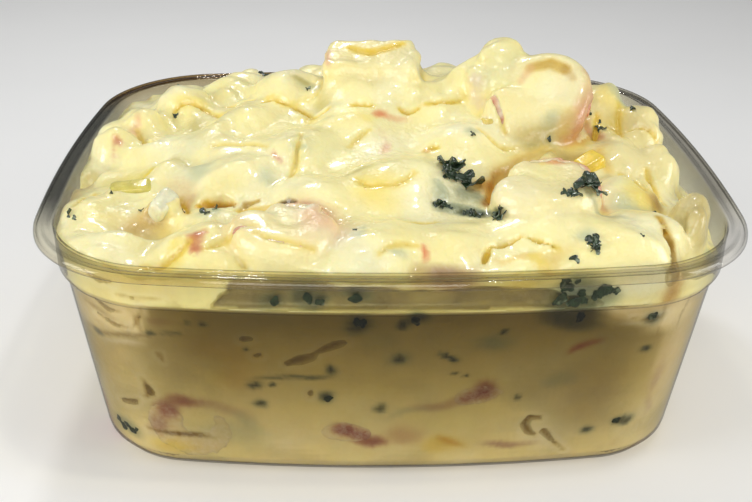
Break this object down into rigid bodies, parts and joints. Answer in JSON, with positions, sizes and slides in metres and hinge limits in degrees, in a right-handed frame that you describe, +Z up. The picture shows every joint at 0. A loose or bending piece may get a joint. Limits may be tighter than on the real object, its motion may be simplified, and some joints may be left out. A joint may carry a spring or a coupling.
{
  "type": "shrimp salad in a tub",
  "caption": "Creamy shrimp salad heaped above the rim of a clear rectangular tub, with curled shrimps, cubes and dark herb leaves showing.",
  "frame": {"origin": "on the floor under the middle of the tub's base", "axes": "+X along the tub's long side, -Y to the front, +Z up"},
  "size_m": [0.168, 0.139, 0.0887],
  "materials": {
    "clear_plastic": "clear thin moulded plastic, glossy",
    "coated_salad": "thick creamy dressing, wet sheen",
    "shrimp_flesh": "cooked shrimp, pink and cream, moist",
    "herb_leaf": "dark green leaf, moist",
    "yellow_cube": "soft yellow filling, moist",
    "white_cube": "soft white filling, moist",
    "green_cube": "pale yellow-green filling, moist"
  },
  "bodies": {
    "root": {"tub": "clear_plastic", "salad": "coated_salad", "shrimp_back": "shrimp_flesh", "shrimp_right": "shrimp_flesh", "shrimp_left": "shrimp_flesh", "shrimp_wall_left": "shrimp_flesh", "shrimp_wall_middle": "shrimp_flesh", "shrimp_wall_right": "shrimp_flesh", "herb_crevice": "herb_leaf", "herb_trail": "herb_leaf", "herb_right": "herb_leaf", "herb_front": "herb_leaf", "herb_wall": "herb_leaf", "yellow_chunk": "yellow_cube", "yellow_cube": "yellow_cube", "white_cube": "white_cube", "green_chunk": "green_cube"}
  },
  "joints": []
}
